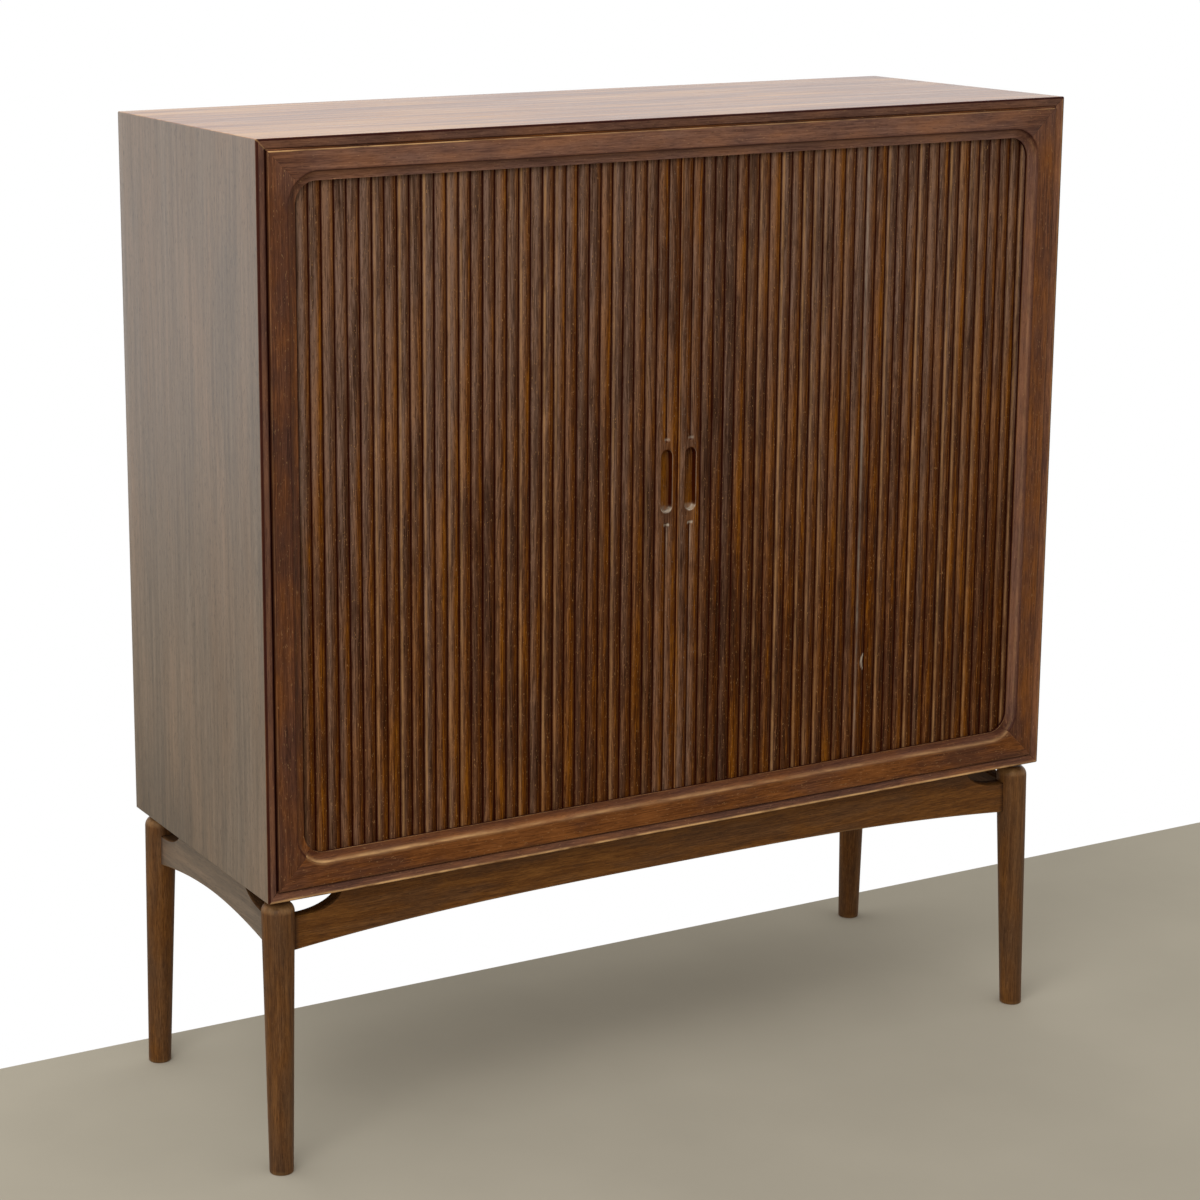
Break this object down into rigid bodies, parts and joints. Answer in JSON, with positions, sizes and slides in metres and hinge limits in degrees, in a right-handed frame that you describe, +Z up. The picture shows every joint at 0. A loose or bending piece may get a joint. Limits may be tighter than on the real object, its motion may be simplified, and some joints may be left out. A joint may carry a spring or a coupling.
{
  "type": "tambour door cabinet",
  "caption": "Wooden cabinet on a splayed base, with slatted tambour doors that slide apart and turn away round the corners of the case.",
  "frame": {"origin": "on the floor, under the middle of the case", "axes": "+Z up, -Y towards the front with the doors, +X to the right seen from the front"},
  "size_m": [1.15, 0.412, 1.25],
  "materials": {
    "case_wood": "worn satin lacquer",
    "frame_wood": "worn satin lacquer",
    "slat_wood": "satin lacquer",
    "leg_wood": "satin lacquer",
    "inside_wood": "matt oil",
    "plywood": "raw, aged",
    "brass": "dull",
    "steel": "zinc plated"
  },
  "bodies": {
    "carcass": {"case_top": "case_wood", "case_bottom": "case_wood", "case_left_side": "case_wood", "case_right_side": "case_wood", "back_panel": "plywood", "front_frame_top": "frame_wood", "front_frame_bottom": "frame_wood", "front_frame_left": "frame_wood", "front_frame_right": "frame_wood", "left_inner_wall": "inside_wood", "right_inner_wall": "inside_wood", "centre_divider": "inside_wood", "inner_back": "plywood", "left_shelf_1": "inside_wood", "left_shelf_1_pin_1": "brass", "left_shelf_1_pin_2": "brass", "left_shelf_1_pin_3": "brass", "left_shelf_1_pin_4": "brass", "left_shelf_2": "inside_wood", "left_shelf_2_pin_1": "brass", "left_shelf_2_pin_2": "brass", "left_shelf_2_pin_3": "brass", "left_shelf_2_pin_4": "brass", "right_shelf_1": "inside_wood", "right_shelf_1_pin_1": "brass", "right_shelf_1_pin_2": "brass", "right_shelf_1_pin_3": "brass", "right_shelf_1_pin_4": "brass", "right_shelf_2": "inside_wood", "right_shelf_2_pin_1": "brass", "right_shelf_2_pin_2": "brass", "right_shelf_2_pin_3": "brass", "right_shelf_2_pin_4": "brass", "front_left_leg": "leg_wood", "front_right_leg": "leg_wood", "back_left_leg": "leg_wood", "back_right_leg": "leg_wood", "front_rail": "leg_wood", "back_rail": "leg_wood", "left_rail": "leg_wood", "right_rail": "leg_wood", "base_screw_front_left": "steel", "base_screw_front_right": "steel", "base_screw_back_left": "steel", "base_screw_back_right": "steel"},
    "left_door": {"left_lead_stile": "slat_wood", "left_slat_strip_1": "slat_wood", "left_slat_strip_2": "slat_wood", "left_slat_strip_3": "slat_wood", "left_slat_strip_4": "slat_wood", "left_slat_strip_5": "slat_wood", "left_slat_tail": "slat_wood"},
    "right_door": {"right_lead_stile": "slat_wood", "right_slat_strip_1": "slat_wood", "right_slat_strip_2": "slat_wood", "right_slat_strip_3": "slat_wood", "right_slat_strip_4": "slat_wood", "right_slat_strip_5": "slat_wood", "right_slat_tail": "slat_wood"}
  },
  "joints": [
    {"name": "left_door_slide", "type": "slide", "parent": "carcass", "child": "left_door", "axis": [-1, 0, 0], "range_m": [0, 0.489], "deforming": ["left_slat_strip_1", "left_slat_strip_2", "left_slat_strip_3", "left_slat_strip_4", "left_slat_strip_5", "left_slat_tail"]},
    {"name": "right_door_slide", "type": "slide", "parent": "carcass", "child": "right_door", "axis": [1, 0, 0], "range_m": [0, 0.489], "deforming": ["right_slat_strip_1", "right_slat_strip_2", "right_slat_strip_3", "right_slat_strip_4", "right_slat_strip_5", "right_slat_tail"]}
  ]
}
